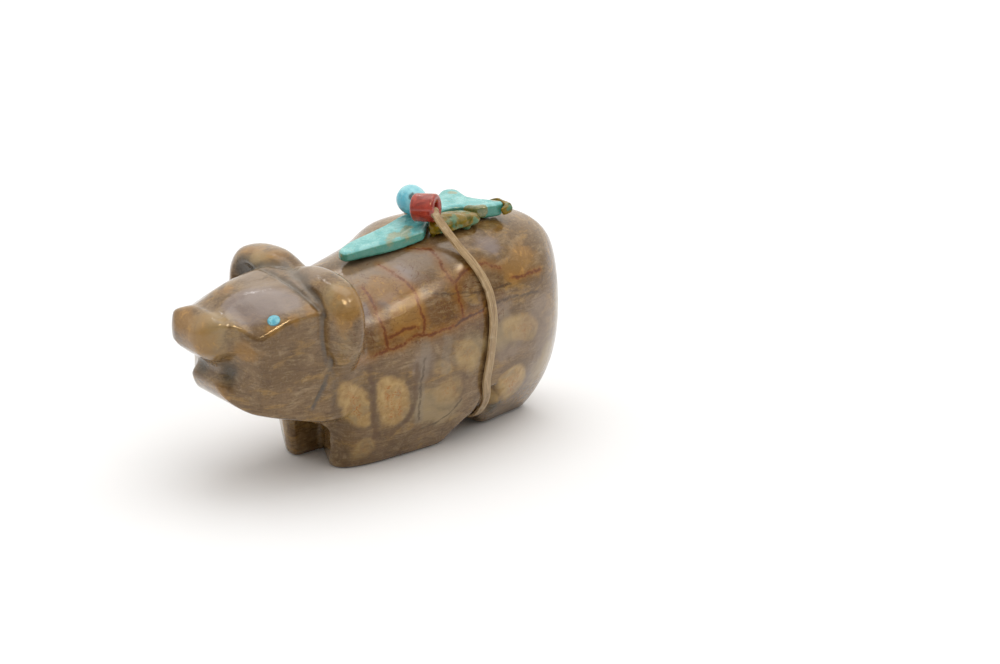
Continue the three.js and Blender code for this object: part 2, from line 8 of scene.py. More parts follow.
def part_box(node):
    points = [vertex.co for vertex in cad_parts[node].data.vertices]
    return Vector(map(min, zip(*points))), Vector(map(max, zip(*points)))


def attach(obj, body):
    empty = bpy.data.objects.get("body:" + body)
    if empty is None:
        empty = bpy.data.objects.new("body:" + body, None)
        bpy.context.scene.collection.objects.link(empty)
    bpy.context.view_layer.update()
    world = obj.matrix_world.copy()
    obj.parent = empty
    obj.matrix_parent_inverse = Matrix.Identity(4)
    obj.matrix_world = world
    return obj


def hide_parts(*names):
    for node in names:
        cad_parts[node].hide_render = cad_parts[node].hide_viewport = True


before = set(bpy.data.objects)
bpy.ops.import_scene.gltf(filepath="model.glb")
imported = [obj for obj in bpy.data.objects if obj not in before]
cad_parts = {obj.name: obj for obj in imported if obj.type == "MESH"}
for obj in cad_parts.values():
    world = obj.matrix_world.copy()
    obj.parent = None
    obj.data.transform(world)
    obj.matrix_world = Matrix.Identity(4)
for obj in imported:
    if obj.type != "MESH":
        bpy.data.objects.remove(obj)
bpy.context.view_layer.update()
bpy.ops.object.select_all(action="DESELECT")

# Table and light
# The carving stands on a pale sheet in a white light tent. A broad soft lamp hangs over its rump and a
# weaker one over its left flank. Three small lamps show as glints in the polish alone.
mm = 0.001


def colour(code):
    """A hex colour as the linear colour that a node takes."""
    parts = [int(code[i : i + 2], 16) / 255 for i in (0, 2, 4)]
    return [c / 12.92 if c < 0.04045 else ((c + 0.055) / 1.055) ** 2.4 for c in parts] + [1]


class Wire:
    """What a node gives. Sums on it add Math nodes to its finish."""

    def __init__(self, finish, socket):
        self.finish = finish
        self.socket = socket

    def sum(self, operation, first, second):
        return self.finish.node("Math", {"operation": operation}, {0: first, 1: second})

    def __add__(self, other):
        return self.sum("ADD", self, other)

    def __radd__(self, other):
        return self.sum("ADD", other, self)

    def __sub__(self, other):
        return self.sum("SUBTRACT", self, other)

    def __rsub__(self, other):
        return self.sum("SUBTRACT", other, self)

    def __mul__(self, other):
        return self.sum("MULTIPLY", self, other)

    def __rmul__(self, other):
        return self.sum("MULTIPLY", other, self)


class Finish:
    """A material that is put together node by node."""

    def __init__(self, name):
        self.material = bpy.data.materials.new(name)
        self.material.use_nodes = True
        self.tree = self.material.node_tree
        self.tree.nodes.clear()

    def node(self, kind, settings=(), sockets=(), out=0):
        made = self.tree.nodes.new("ShaderNode" + kind)
        for name, value in dict(settings).items():
            setattr(made, name, value)
        for name, value in dict(sockets).items():
            if isinstance(value, Wire):
                self.tree.links.new(value.socket, made.inputs[name])
            else:
                made.inputs[name].default_value = value
        return Wire(self, made.outputs[out])

    def place(self, scale=(1, 1, 1), turn=(0, 0, 0), shift=(0, 0, 0)):
        """Object coordinates in millimetres, then scaled and turned."""
        at = self.node("TexCoord", out="Object")
        size = [s / mm for s in scale]
        sockets = {"Vector": at, "Scale": size, "Rotation": turn, "Location": shift}
        return self.node("Mapping", {}, sockets)

    def noise(self, at, scale, detail=4, rough=0.55, warp=0):
        sockets = {"Vector": at, "Scale": scale, "Detail": detail, "Roughness": rough, "Distortion": warp}
        return self.node("TexNoise", {}, sockets)

    def step(self, value, low, high, first=0, last=1):
        """A value brought from low..high to first..last with a soft start and end."""
        sockets = {"Value": value, 1: low, 2: high, 3: first, 4: last}
        return self.node("MapRange", {"interpolation_type": "SMOOTHSTEP"}, sockets)

    def mix(self, share, first, second, how="MIX"):
        settings = {"data_type": "RGBA", "blend_type": how, "clamp_factor": True}
        return self.node("Mix", settings, {0: share, 6: first, 7: second}, out=2)

    def bump(self, height, distance, strength):
        return self.node("Bump", {}, {"Height": height, "Distance": distance * mm, "Strength": strength})

    def read(self, name):
        """A value kept at the corners of the piece."""
        return self.node("Attribute", {"attribute_name": name}, out="Fac")

    def wash(self, base, share, code):
        """A colour laid over another by a share."""
        return self.mix(share, base, colour(code))

    def close(self, sockets):
        """The shader, with the values and links of its sockets."""
        shader = self.node("BsdfPrincipled", {}, sockets)
        surface = self.tree.nodes.new("ShaderNodeOutputMaterial")
        self.tree.links.new(shader.socket, surface.inputs["Surface"])


def look_from(azimuth, elevation):
    """Directions to the right, up and back of a viewer who looks at the carving."""
    a, e = math.radians(azimuth), math.radians(elevation)
    right = Vector((math.cos(a), math.sin(a), 0))
    back = Vector((math.sin(a) * math.cos(e), -math.cos(a) * math.cos(e), math.sin(e)))
    return right, back.cross(right), back


picture = (1000, 664)  # width and height in pixels
focal = 3200  # in pixels of the picture
lens_width = 36
view_distance = 458.05 * mm
view_azimuth = -42
view_elevation = 18.5
middle_at = (375.1, 440.4)  # the pixel that the middle of the footprint falls on
right, up, back = look_from(view_azimuth, view_elevation)
aside = (middle_at[0] - picture[0] / 2) / focal * view_distance
above = -(middle_at[1] - picture[1] / 2) / focal * view_distance
bpy.ops.object.camera_add()
camera = bpy.context.object
camera.name = "camera"
camera.data.lens = focal * lens_width / picture[0]
camera.data.sensor_width = lens_width
camera.data.clip_start = 0.01
turned = Matrix((right, up, back)).transposed().to_4x4()
camera.matrix_world = Matrix.Translation(back * view_distance - right * aside - up * above) @ turned
bpy.context.scene.camera = camera

tent = bpy.data.worlds.new("light_tent")
bpy.context.scene.world = tent
tent.use_nodes = True
tent_nodes = tent.node_tree.nodes
tent_cloth = tent_nodes["Background"]
tent_cloth.inputs["Color"].default_value = colour("f8f2e8")
around = tent_nodes.new("ShaderNodeTexCoord")
toward = tent_nodes.new("ShaderNodeVectorMath")
toward.operation = "DOT_PRODUCT"
toward.inputs[1].default_value = look_from(150, 50)[2]  # brightest above and behind
glow = tent_nodes.new("ShaderNodeMapRange")
glow.interpolation_type = "SMOOTHSTEP"
glow_range = (-0.25, 0.75, 0.42, 1.25)  # from where to where it grows, and its least and most
for place, value in enumerate(glow_range, 1):
    glow.inputs[place].default_value = value
tent.node_tree.links.new(around.outputs["Generated"], toward.inputs[0])
tent.node_tree.links.new(toward.outputs["Value"], glow.inputs["Value"])
tent.node_tree.links.new(glow.outputs["Result"], tent_cloth.inputs["Strength"])
bpy.context.scene.view_settings.view_transform = "Standard"


def add_lamp(name, azimuth, elevation, distance, size, power, tint, glint=False):
    """A lamp aimed at the carving. A glint lamp shows in the polish alone and lights nothing else."""
    away = look_from(azimuth, elevation)[2]
    bpy.ops.object.light_add(type="AREA", location=away * distance)
    lamp = bpy.context.object
    lamp.name = name
    lamp.rotation_euler = away.to_track_quat("Z", "Y").to_euler()
    lamp.data.shape = "RECTANGLE"
    lamp.data.size, lamp.data.size_y = size
    lamp.data.energy = power
    lamp.data.color = colour(tint)[:3]
    lamp.visible_camera = False
    lamp.visible_diffuse = not glint


add_lamp("top_light", 110, 75, 0.8, (0.8, 0.6), 1.9, "fffdf8")
add_lamp("front_light", -8, 50, 0.8, (0.5, 0.4), 0.6, "fff6ea")
add_lamp("brow_glint", -31, 50, 0.7, (0.24, 0.02), 2.2, "ffd89a", glint=True)
add_lamp("flank_glint", 25, 51, 0.7, (0.14, 0.007), 0.6, "ffe8c4", glint=True)
add_lamp("rear_glint", 155, 45, 0.7, (0.03, 0.03), 0.06, "ffffff", glint=True)

sheet_width = 6
sheet_level = -0.02 * mm
bpy.ops.mesh.primitive_plane_add(size=sheet_width, location=(0, 0, sheet_level))
table = bpy.context.object
table.name = "table"
sheet = Finish("pale_sheet")
sheet.close({"Base Color": colour("f3f7ff"), "Roughness": 0.9, "Specular IOR Level": 0.1})
table.data.materials.append(sheet.material)

# Bear
# One piece of banded picture stone, carved and ground, then polished all over. Its form is
# written in hundredths of its length, the nose at x = -50 and the rump at x = 50.
share = 0.64 * mm
form_middle = (3.049, -0.291)  # middle of the finished carving in plan, in hundredths
head_turn = math.radians(7)
head_pivot = (-18, -1)


def blend_min(a, b, k):
    """Smaller of two fields, blended over a band of width k, so two forms flow into each other."""
    h = np.maximum(k - np.abs(a - b), 0) / k
    return np.minimum(a, b) - h * h * k / 4


def blend_max(a, b, k):
    """Larger of two fields, blended over a band of width k, so two cuts meet in a rounded edge."""
    return -blend_min(-a, -b, k)


def curve(pairs):
    """Smooth curve through a few (position, value) pairs."""
    xs, ys = np.array(pairs, float).T
    low = np.maximum(np.arange(len(xs)) - 1, 0)
    high = np.minimum(np.arange(len(xs)) + 1, len(xs) - 1)
    slope = (ys[high] - ys[low]) / (xs[high] - xs[low])

    def value(x):
        x = np.clip(x, xs[0], xs[-1])
        i = np.clip(np.searchsorted(xs, x, side="right") - 1, 0, len(xs) - 2)
        w = xs[i + 1] - xs[i]
        t = (x - xs[i]) / w
        return (
            (2 * t**3 - 3 * t**2 + 1) * ys[i]
            + (t**3 - 2 * t**2 + t) * w * slope[i]
            + (3 * t**2 - 2 * t**3) * ys[i + 1]
            + (t**3 - t**2) * w * slope[i + 1]
        )

    return value


def outline(points, corners=6):
    """Closed smooth outline through a few points, as a list of corners."""
    p = np.array(points, float)
    step = np.linalg.norm(np.roll(p, -1, 0) - p, axis=1) ** 0.5
    ring = []
    for i in range(len(p)):
        p0, p1, p2, p3 = p[i - 1], p[i], p[(i + 1) % len(p)], p[(i + 2) % len(p)]
        d0, d1, d2 = step[i - 1], step[i], step[(i + 1) % len(p)]
        leave = ((p1 - p0) / d0 - (p2 - p0) / (d0 + d1) + (p2 - p1) / d1) * d1
        reach = ((p2 - p1) / d1 - (p3 - p1) / (d1 + d2) + (p3 - p2) / d2) * d1
        for t in np.arange(corners) / corners:
            ring.append(
                (2 * t**3 - 3 * t**2 + 1) * p1
                + (t**3 - 2 * t**2 + t) * leave
                + (3 * t**2 - 2 * t**3) * p2
                + (t**3 - t**2) * reach
            )
    return np.array(ring)


def outline_distance(ring, x, z):
    """Distance from points to a closed outline, negative inside."""
    nearest = np.full(np.shape(x), 1e9)
    inside = np.zeros(np.shape(x), bool)
    for (ax, az), (bx, bz) in zip(np.roll(ring, 1, 0), ring):
        dx, dz = bx - ax, bz - az
        t = np.clip(((x - ax) * dx + (z - az) * dz) / (dx * dx + dz * dz), 0, 1)
        nearest = np.minimum(nearest, (x - ax - dx * t) ** 2 + (z - az - dz * t) ** 2)
        if az != bz:
            inside ^= ((az > z) != (bz > z)) & (x < ax + dx * (z - az) / dz)
    return np.where(inside, -1, 1) * np.sqrt(nearest)


def boulder(x, y, z, centre, half, squareness):
    """Rounded ball-like form: centre, three half sizes, and how square it is."""
    n = squareness
    r = sum(np.abs((v - c) / h) ** n for v, c, h in zip((x, y, z), centre, half)) ** (1 / n)
    return (r - 1) * min(half)


body_side = outline(
    [
        (-17.6, 24), (-17, 12), (-16.8, 4), (-15.6, -0.5), (-13, -5), (12, -5), (14.4, 0), (16.4, 3),
        (18.4, 5), (21, 5.2), (24.4, 3.8), (27, 1), (29, -2), (31, -5), (41, -5), (44, 0), (46.4, 7),
        (49.4, 16), (52.5, 27), (52.9, 36.5), (48, 45.8), (36, 57), (-10, 58), (-20, 44),
    ]
)
back_line = curve(
    [
        (-22, 38), (-14, 40.4), (-6, 42.7), (4, 45.1), (11, 47.2), (17, 48.1), (28, 48), (38, 47.1),
        (45, 45.6), (51, 43),
    ]
)
back_squareness = curve([(-20, 2.1), (0, 2.1), (8, 2.3), (15, 2.9), (30, 2.7), (45, 2.4)])
body_half_width = curve(
    [
        (-22, 14), (-16, 17), (-6, 19.6), (6, 20.8), (20, 21), (28, 20.6), (35, 19.4), (41, 17.4),
        (46, 14), (50, 9.6), (53, 5),
    ]
)
widest_level = 25
foot_share = curve([(-16, 0.52), (-8, 0.58), (0, 0.57), (15, 0.54), (33, 0.37), (46, 0.35)])
stride = 0.16  # how much further on each foot stands for its distance from the middle
stride_start = 15  # how far in front of the origin the stride is full
flank_hollow = ((23, 16.6, 6), (3.2, 3.6, 6.4))  # middle and half sizes, before each hind foot
right_leg_edge = (-18.1, 3.95)  # where the front of the right foreleg is cut on a slant


def body_form(x, y, z):
    w = body_half_width(x)
    side = np.abs(y)
    n = back_squareness(x)
    rise = np.maximum(z - widest_level, 0) / (back_line(x) - widest_level)
    over = (((side / w) ** n + rise**n) ** (1 / n) - 1) * w
    drop = (widest_level - z) / widest_level
    under = side - w * (1 - (1 - foot_share(x)) * drop * drop)
    girth = np.where(z > widest_level, over, under)
    ahead = stride * y * np.clip(-x / stride_start, 0, 1)
    profile = outline_distance(body_side, x + ahead, z)
    hollow = boulder(x, side, z, *flank_hollow, 2)
    edge_x, edge_y = right_leg_edge
    right_leg_front = 0.48 * (y - edge_y) - 0.87 * (x - edge_x) - 0.12 * z
    form = blend_max(girth, profile, 3)
    form = blend_max(form, right_leg_front, 1.2)
    return blend_max(form, -hollow, 2)


forefoot_notch_edge = (-14.5, -5.6)  # a place on its slanting left wall
forefoot_notch_right = 3.4
forefoot_notch_top = 9.4
hindfoot_notch_half = 2.6
hindfoot_notch_front = 39
hindfoot_notch_top = 9


def forefoot_notch(x, y, z):
    edge_x, edge_y = forefoot_notch_edge
    slant = 0.853 * (x - edge_x) - 0.521 * (y - edge_y)
    walls = blend_max(y - forefoot_notch_right, slant, 1)
    return blend_max(walls, z - forefoot_notch_top, 2)


def hindfoot_notch(x, y, z):
    front = hindfoot_notch_front - x + 0.6 * z
    walls = blend_max(np.abs(y) - hindfoot_notch_half, front, 2)
    return blend_max(walls, z - hindfoot_notch_top, 3)


head_side = outline(
    [
        (-46.4, 32.6), (-47, 35), (-46.5, 37.2), (-45, 39.2), (-43.2, 40.3), (-41.4, 40.3), (-39.8, 40.8),
        (-37.4, 42.2), (-33, 43.4), (-27, 44.1), (-20, 44.6), (-14, 42), (-12, 34), (-12, 22),
        (-14, 13.8), (-20, 13.6), (-27, 15.3), (-34, 17.5), (-38.4, 19.3), (-41, 21.8), (-42.5, 25),
        (-43, 28.2), (-44.6, 30.6), (-45.8, 31.7),
    ]
)
head_half_width = curve(
    [
        (-48, 2), (-47.2, 5), (-45.6, 7.6), (-43.4, 9), (-41, 9.5), (-39.6, 10.5), (-38, 13),
        (-36.4, 14.6), (-31, 15.6), (-26, 16.3), (-20, 17),
    ]
)
roof_line = curve(
    [(-47, 41), (-41.5, 41.5), (-39, 42.4), (-36, 44), (-31, 45.8), (-26, 47), (-18, 48)]
)
roof_pitch = curve([(-46, 0.2), (-42.5, 0.24), (-40, 0.42), (-37.5, 0.6), (-34, 0.56), (-30, 0.5)])
far_roof_pitch = curve([(-46, 0.4), (-40, 0.6), (-30, 0.62)])
crest_width = 3
lip = 32.8  # height of the lower edge of the nose
lip_edge = 3
jaw_level = 20  # height where the mouth begins to run in over the jaw
jaw_edge = 7
jaw_bar = ((-47.4, 28), (-43, 27.2), 1.9)  # ends and radius of the hollow under the nose
mouth_pinch = curve([(-40, 3.6), (-38.6, 2.4), (-36.4, 0)])
cheek_level = 30  # below it the cheeks draw in
cheek_height = 16
cheek_taper = 0.22


def cross_bar(x, z, front, back_end, radius):
    """Distance to a straight bar of round section that runs across the head."""
    dx, dz = back_end[0] - front[0], back_end[1] - front[1]
    t = np.clip(((x - front[0]) * dx + (z - front[1]) * dz) / (dx * dx + dz * dz), 0, 1)
    return np.hypot(x - front[0] - dx * t, z - front[1] - dz * t) - radius


def head_form(x, y, z):
    side = outline_distance(head_side, x, z)
    low = np.maximum(cheek_level - z, 0) / cheek_height
    mouth = np.clip((lip - z) / lip_edge, 0, 1) * np.clip((z - jaw_level) / jaw_edge, 0, 1)
    pinch = mouth_pinch(x) * mouth
    cheek = np.abs(y) - head_half_width(x) * (1 - cheek_taper * low * low) + pinch
    ridge = np.hypot(y, crest_width) - crest_width
    pitch = np.where(y > 0, far_roof_pitch(x), roof_pitch(x))
    roof = (z - roof_line(x) + pitch * ridge) / np.hypot(1, pitch)
    block = blend_max(blend_max(side, cheek, 2.4), roof, 1.1)
    jaw_hollow = cross_bar(x, z, *jaw_bar)
    return blend_max(block, -jaw_hollow, 1.8)


ear_parting = 0.7
ear_middle = (-18, 12.8, 37.2)
ear_half = (4.8, 10.1, 8.9)
ear_squareness = 2.4
ear_top = 45.5
near_scoop_at = ((-25.2, 12.6, 42.2), (4, 5.6, 4))  # middle and half sizes
far_scoop_at = ((-25.8, 12.6, 40.2), (4.2, 6.4, 4.6))
ruff_at = ((-17.7, 0, 28.1), (5.8, 17, 16.6))
ruff_squareness = 2.6


def ear_form(x, y, z):
    """Both ears and the ruff under them. The far ear is a little larger."""
    side = np.abs(y - ear_parting)
    far = np.clip((y + 5) / 12, 0, 1)
    n = ear_squareness
    thick = ear_half[0] + far
    spread = (
        np.abs((x - ear_middle[0] + far) / thick) ** n
        + np.abs((side - ear_middle[1]) / ear_half[1]) ** n
        + np.abs((z - ear_middle[2] - 0.2 * far) / (ear_half[2] + 0.5 * far)) ** n
    ) ** (1 / n)
    ear = (spread - 1) * thick
    top = z - ear_top - 0.8 * far - 0.1 * (x + 21)
    near_scoop = boulder(x, -y, z, *near_scoop_at, 2)
    far_scoop = boulder(x, y, z, *far_scoop_at, 2)
    ruff = boulder(x, y, z, *ruff_at, ruff_squareness)
    ear = blend_max(blend_max(ear, top, 1.6), -near_scoop, 0.8)
    ear = blend_max(ear, -far_scoop, 0.6)
    return blend_min(ear, ruff, 3.4)


def to_head(x, y):
    dx, dy = x - head_pivot[0], y - head_pivot[1]
    c, s = math.cos(head_turn), math.sin(head_turn)
    return head_pivot[0] + dx * c - dy * s, dx * s + dy * c


def steepness(form, p, d=0.08):
    """How a form changes along x, y and z at points."""
    rates = []
    for axis in np.eye(3) * d:
        rates.append((form(*(p + axis).T) - form(*(p - axis).T)) / (2 * d))
    return np.array(rates).T


def bear_form(x, y, z):
    hx, hy = to_head(x, y)
    form = blend_min(head_form(hx, hy, z), ear_form(hx, hy, z), 1)
    form = blend_min(form, body_form(x, y, z), 1.6)
    form = blend_max(form, -forefoot_notch(x, y, z), 1)
    form = blend_max(form, -hindfoot_notch(x, y, z), 1.6)
    return blend_max(form, -z, 0.8)


def to_form(points):
    """Places in metres as places in hundredths of the bear's length."""
    return points / share + np.array([form_middle[0], form_middle[1], 0])


merge_reach = 0.002 * mm


def copy_of(node, name):
    """A copy of a solid of the frame, its corners merged, ready to be worked on."""
    made = bpy.data.objects.new(name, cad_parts[node].data.copy())
    made.data.name = name
    made.data.materials.clear()
    bpy.context.collection.objects.link(made)
    bpy.ops.object.select_all(action="DESELECT")
    bpy.context.view_layer.objects.active = made
    made.select_set(True)
    bpy.ops.object.mode_set(mode="EDIT")
    bpy.ops.mesh.select_all(action="SELECT")
    bpy.ops.mesh.remove_doubles(threshold=merge_reach)
    bpy.ops.mesh.select_all(action="DESELECT")
    bpy.ops.object.mode_set(mode="OBJECT")
    return made


def corners_of(piece):
    flat = np.empty(len(piece.data.vertices) * 3)
    piece.data.vertices.foreach_get("co", flat)
    return flat.reshape(-1, 3)


def set_corners(piece, points):
    piece.data.vertices.foreach_set("co", points.ravel())
    piece.data.update()


def apply_modifier(piece, kind, **settings):
    added = piece.modifiers.new(kind.lower(), kind)
    for name, value in settings.items():
        setattr(added, name, value)
    bpy.context.view_layer.objects.active = piece
    bpy.ops.object.modifier_apply(modifier=added.name)


def smooth_shading(piece, degrees=180):
    bpy.ops.object.select_all(action="DESELECT")
    piece.select_set(True)
    bpy.context.view_layer.objects.active = piece
    if degrees < 180:
        bpy.ops.object.shade_smooth_by_angle(angle=math.radians(degrees))
    else:
        bpy.ops.object.shade_smooth()


def along_path(path, x, y, z):
    """Distance from points to a path of straight lengths."""
    nearest = np.full(np.shape(x), 1e9)
    for a, b in zip(path, path[1:]):
        d = np.subtract(b, a)
        t = np.clip(((x - a[0]) * d[0] + (y - a[1]) * d[1] + (z - a[2]) * d[2]) / (d @ d), 0, 1)
        reach = (x - a[0] - d[0] * t) ** 2 + (y - a[1] - d[1] * t) ** 2 + (z - a[2] - d[2] * t) ** 2
        nearest = np.minimum(nearest, reach)
    return np.sqrt(nearest)


least_steep = 0.2


def draw_onto(form, p, passes, reach):
    """Points moved along the steepest slope until they lie on the surface of a form."""
    p = p.copy()
    for _ in range(passes):
        slope = steepness(form, p)
        steep = np.maximum((slope**2).sum(1), least_steep)
        move = -(form(*p.T) / steep)[:, None] * slope
        size = np.maximum(np.linalg.norm(move, axis=1), 1e-9)
        p += move * np.minimum(1, reach / size)[:, None]
    return p


# The sockets of the eyes are drawn up to the surface, because each eye fills its own. The copy
# is worked in hundredths of its length and brought back at the end.
skin_voxel = 0.42
bear = copy_of("bear", "bear_stone")
set_corners(bear, draw_onto(bear_form, to_form(corners_of(bear)), 3, 3))
apply_modifier(bear, "REMESH", mode="VOXEL", voxel_size=skin_voxel)
points = draw_onto(bear_form, corners_of(bear), 4, 1.2)

# A line is ground where the face meets the ears and the ruff. Along it the stone is painted darker, for a
# little dark residue and for painted shade in the line, more of it over the crown.
groove_depth = 0.5
groove_width = 0.62
groove_end = -19  # it stops at the front of the shoulders
past_groove = 9
dark_line_width = 0.75
dark_line_on_crown = 0.8
crown_level = 37
crown_height = 6
over_crown = [
    (-24.3, 6, 45), (-24.3, -1, 45), (-24.7, -8.2, 44.3), (-23.6, -14, 42.4), (-22.6, -17.1, 39.5),
]
under_cheek = [
    (-21.2, -17.9, 31), (-21.7, -17.5, 27), (-22, -16.5, 24.3), (-24.1, -14.7, 18.8), (-25, -9, 15.5),
]
hx, hy = to_head(points[:, 0], points[:, 1])
on_head = np.stack([hx, hy, points[:, 2]], 1)
head = head_form(*on_head.T)
ears = ear_form(*on_head.T)
ears = ears / np.maximum(np.linalg.norm(steepness(ear_form, on_head), axis=1), 0.3)
from_line = np.hypot(head, ears) + np.where(hx < groove_end, 0, past_groove)
for path in (over_crown, under_cheek):
    from_line = np.minimum(from_line, along_path(path, hx, hy, points[:, 2]))
in_line = np.exp(-((from_line / groove_width) ** 2))
on_crown = np.clip((points[:, 2] - crown_level) / crown_height, 0, 1)
residue_and_shade = np.exp(-((from_line / (dark_line_width + dark_line_on_crown * on_crown)) ** 2))
outward = steepness(bear_form, points)
outward /= np.linalg.norm(outward, axis=1)[:, None]
points -= outward * (groove_depth * in_line)[:, None]
points[:, 2] = np.maximum(points[:, 2], 0)
low, high = (np.array(corner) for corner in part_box("bear"))
fitted = (points - points.min(0)) / (points.max(0) - points.min(0)) * (high - low) + low
set_corners(bear, fitted)
smooth_shading(bear)

# Marks of the stone, in hundredths on its left flank. The right flank is the other side of the
# same layers, so it has them too, a little further on.
rust_veins = [
    [
        (-16.9, -19.1, 27.6), (-12, -18.2, 27.9), (-7.6, -19, 28.5), (-3.3, -19.6, 29.5),
        (-0.5, -19.7, 30.5), (3.9, -20.3, 29.9), (9.4, -20.6, 30.8), (14.3, -20.9, 32.1),
        (17.2, -20.8, 32.5),
    ],
    [(-7.4, -9.6, 40.3), (-8, -13.6, 37.5), (-8.3, -16.8, 33.7), (-8, -18.8, 29.1)],
    [
        (-0.4, -6.5, 43.2), (1.6, -12.4, 41), (2.1, -15.1, 39), (1.9, -17.7, 35.7), (1.7, -19.2, 32.7),
        (1, -19.9, 30.2),
    ],
    [
        (7.8, -6.9, 45.5), (10.7, -10.9, 45.3), (10.5, -15.3, 42.4), (11.2, -18.6, 38.5),
        (11.6, -20.1, 34.7), (11.5, -20.7, 32),
    ],
    [(-7.2, -18.3, 31.1), (-3.8, -18.6, 32.1), (-0.2, -19.2, 32)],
    [(11.5, -18.2, 39.4), (14.8, -17.8, 41.5), (20.8, -17.7, 41.9), (24.6, -18.4, 40.2)],
    [(26.7, -19.3, 37.6), (31.7, -18.7, 37), (37.6, -17.2, 36.9)],
]
dark_veins = [
    [(5.9, -17.2, 37.8), (10.8, -19.1, 37.3), (17.1, -20.1, 36.7), (26.7, -19.7, 36.3)],
    [
        (9.4, -20.6, 30.8), (17.2, -20.8, 32.8), (22.6, -20.6, 33.6), (27.3, -20.3, 33.4),
        (35.3, -19, 32.5),
    ],
    [(0.8, -20.5, 25.2), (0, -20.1, 20.2), (0.3, -19.2, 15.2), (1.4, -17.3, 9.9)],
    [(12.9, -18.6, 12.1), (10.6, -17.4, 9.4), (6.4, -16.3, 7.2), (2.3, -16, 6.9)],
]
brown_bands = [
    [(-12.9, -18.4, 26.1), (-12.5, -18.2, 22.6), (-11.9, -17.9, 19), (-11.2, -17, 14), (-9.1, -15.2, 7.8)],
    [(-1.4, -20, 24), (-1.3, -19.4, 17.1), (-0.9, -17.9, 11.9), (-5, -16, 8)],
    [(12.5, -20.8, 18.3), (14.6, -20.4, 16), (19, -19, 13)],
    [(18.7, -21, 30), (19.6, -21, 24), (19, -20.4, 17)],
]
grey_bands = [
    [(1.2, -20.1, 29.6), (0.8, -20.5, 25.2), (0, -20.1, 20.2), (0.3, -19.2, 15.2), (1.4, -17.3, 9.9)],
    [(7, -20.8, 27.9), (6.6, -20.9, 25.2), (6.4, -20.7, 21.1)],
]
pale_cells = [  # outlines seen from the side, as x and z
    [
        (-20.8, 23.4), (-17.6, 23.2), (-14.4, 21.2), (-12.8, 19.1), (-12.1, 15.4), (-11.5, 11.5),
        (-13.7, 11.5), (-19.7, 17.6),
    ],
    [
        (-10.7, 22.3), (-8.6, 22.8), (-5.5, 21.3), (-3.5, 19.1), (-2.5, 15.9), (-2.5, 12.1),
        (-4.3, 10.3), (-7.1, 10.3), (-9.4, 12.4), (-11.1, 20),
    ],
    [
        (9, 26.4), (10.8, 27.1), (13.3, 26.6), (15.5, 24.3), (16, 21.3), (15.2, 19.1), (12.2, 19.5),
        (9.5, 21.6),
    ],
    [(3.6, 16.3), (5.3, 18.4), (8, 19.3), (11.1, 17.6), (12, 14.9), (10.9, 12.6), (8.1, 12.4), (4.9, 13.8)],
    [(23.7, 14.2), (25.8, 16.3), (30, 16.4), (32.8, 14.2), (34, 10.4), (33, 7.9), (30.3, 6.6), (26.3, 9.8)],
    [(20.1, 13.2), (23, 12.6), (24.8, 10.7), (27.2, 7.6), (25.3, 7.5), (23.9, 9.7)],
    [(3.5, 22.9), (5.5, 23.7), (8, 22.5), (8.2, 20.1), (5.8, 19.8), (3.6, 20.9)],
    [(22.9, 28.4), (26.9, 29.2), (32, 28), (34.8, 24.9), (33.1, 22.4), (27.7, 23.2), (23.7, 25.4)],
    [(-13, 7.4), (-9.5, 7.6), (-8.6, 4.6), (-10.4, 2.6), (-13, 3)],
]
# Golden stone, with painted glints along the brow, the ridge of the nose and the middle of the left flank.
gold_and_glint_patches = [  # middle and reach
    ((-45.5, -3, 35.5), 5), ((-44, 5, 37.5), 4), ((-35.6, -13.5, 37.9), 2.2), ((-31, -14.8, 39.4), 2),
    ((-26, -15.5, 41), 2.4), ((-41.8, -3, 23), 3), ((-35.4, 2.6, 42.8), 3), ((-19.2, -20, 43), 4),
    ((-14, -16, 3), 5), ((-39.5, -10, 33), 3), ((-22, -21, 39), 3), ((-18.2, 6.9, 46.1), 3.5),
    ((-19.3, 14, 45), 3.5), ((-3.8, -11.1, 40.5), 3.6), ((33.5, -16.3, 41.5), 4.6),
    ((27.1, -18.9, 38.6), 3.4), ((-0.8, -14.3, 38.9), 4), ((-0.1, -16.7, 35.5), 4),
    ((-3.9, -17.8, 33.6), 3.6), ((-12, 10, 40), 4), ((20, 12, 44), 5), ((28, 0, 48), 5),
]
grey_patches = [
    ((-5.7, -5, 42.3), 5), ((-1.4, -6.7, 42.9), 5), ((3.3, -9.4, 43.1), 4.6), ((11.2, -12.9, 44.6), 4.4),
    ((22.3, -20.9, 30.3), 3.6), ((24.6, -20.9, 22.8), 5), ((35.7, -19.3, 26.9), 6), ((40, -16, 18), 6),
    ((-32, -6, 43), 6), ((-27, 6, 44), 6), ((-21, -8, 46), 5), ((0.9, -20.5, 24), 4), ((36, -14, 12), 4),
]
# Painted shade: darker in the mouth, in the scoop of the far ear and in the hollow before the left hind
# foot.
shaded_hollows = [
    ((-23, 11.5, 42.6), 3.4), ((-41.5, -5.5, 27.4), 3.4), ((-40.5, 4, 27), 3), ((-21, 15, 41.5), 3.6),
    ((27, -13, 5.4), 3),
]
# Painted sheen: greyish-violet patches on the crown, shoulders and back, standing for the tent's light
# reflected in the polish.
sheen_patches = [
    ((-33, -7, 43), 5), ((-36.5, -8, 41.5), 4.5), ((-29, -11.5, 42), 3), ((-37.5, -4, 42), 3.6),
    ((-4, -15, 38), 3), ((2, -11, 41.5), 3.5), ((-12, -14, 37), 3.5), ((24, -14, 44), 4),
]
pale_patches = [
    ((-44.5, -4, 37), 6), ((-21, -19, 43), 4.5), ((-22, 9, 46), 5), ((24, -20, 26), 5), ((9, -18, 10), 5),
    ((40, -15, 14), 6), ((2, -18, 14), 5), ((14, -19, 24), 5), ((-19, -19, 34), 5), ((44, -12, 26), 6),
]
clear_cells = [((-15.5, -18, 17), 7), ((-7, -19, 16.5), 7), ((28, -19, 11.5), 7)]
warm_middle = (2, 35)  # the redder stone of the upper flank, as x and z
warm_half = (24, 8)

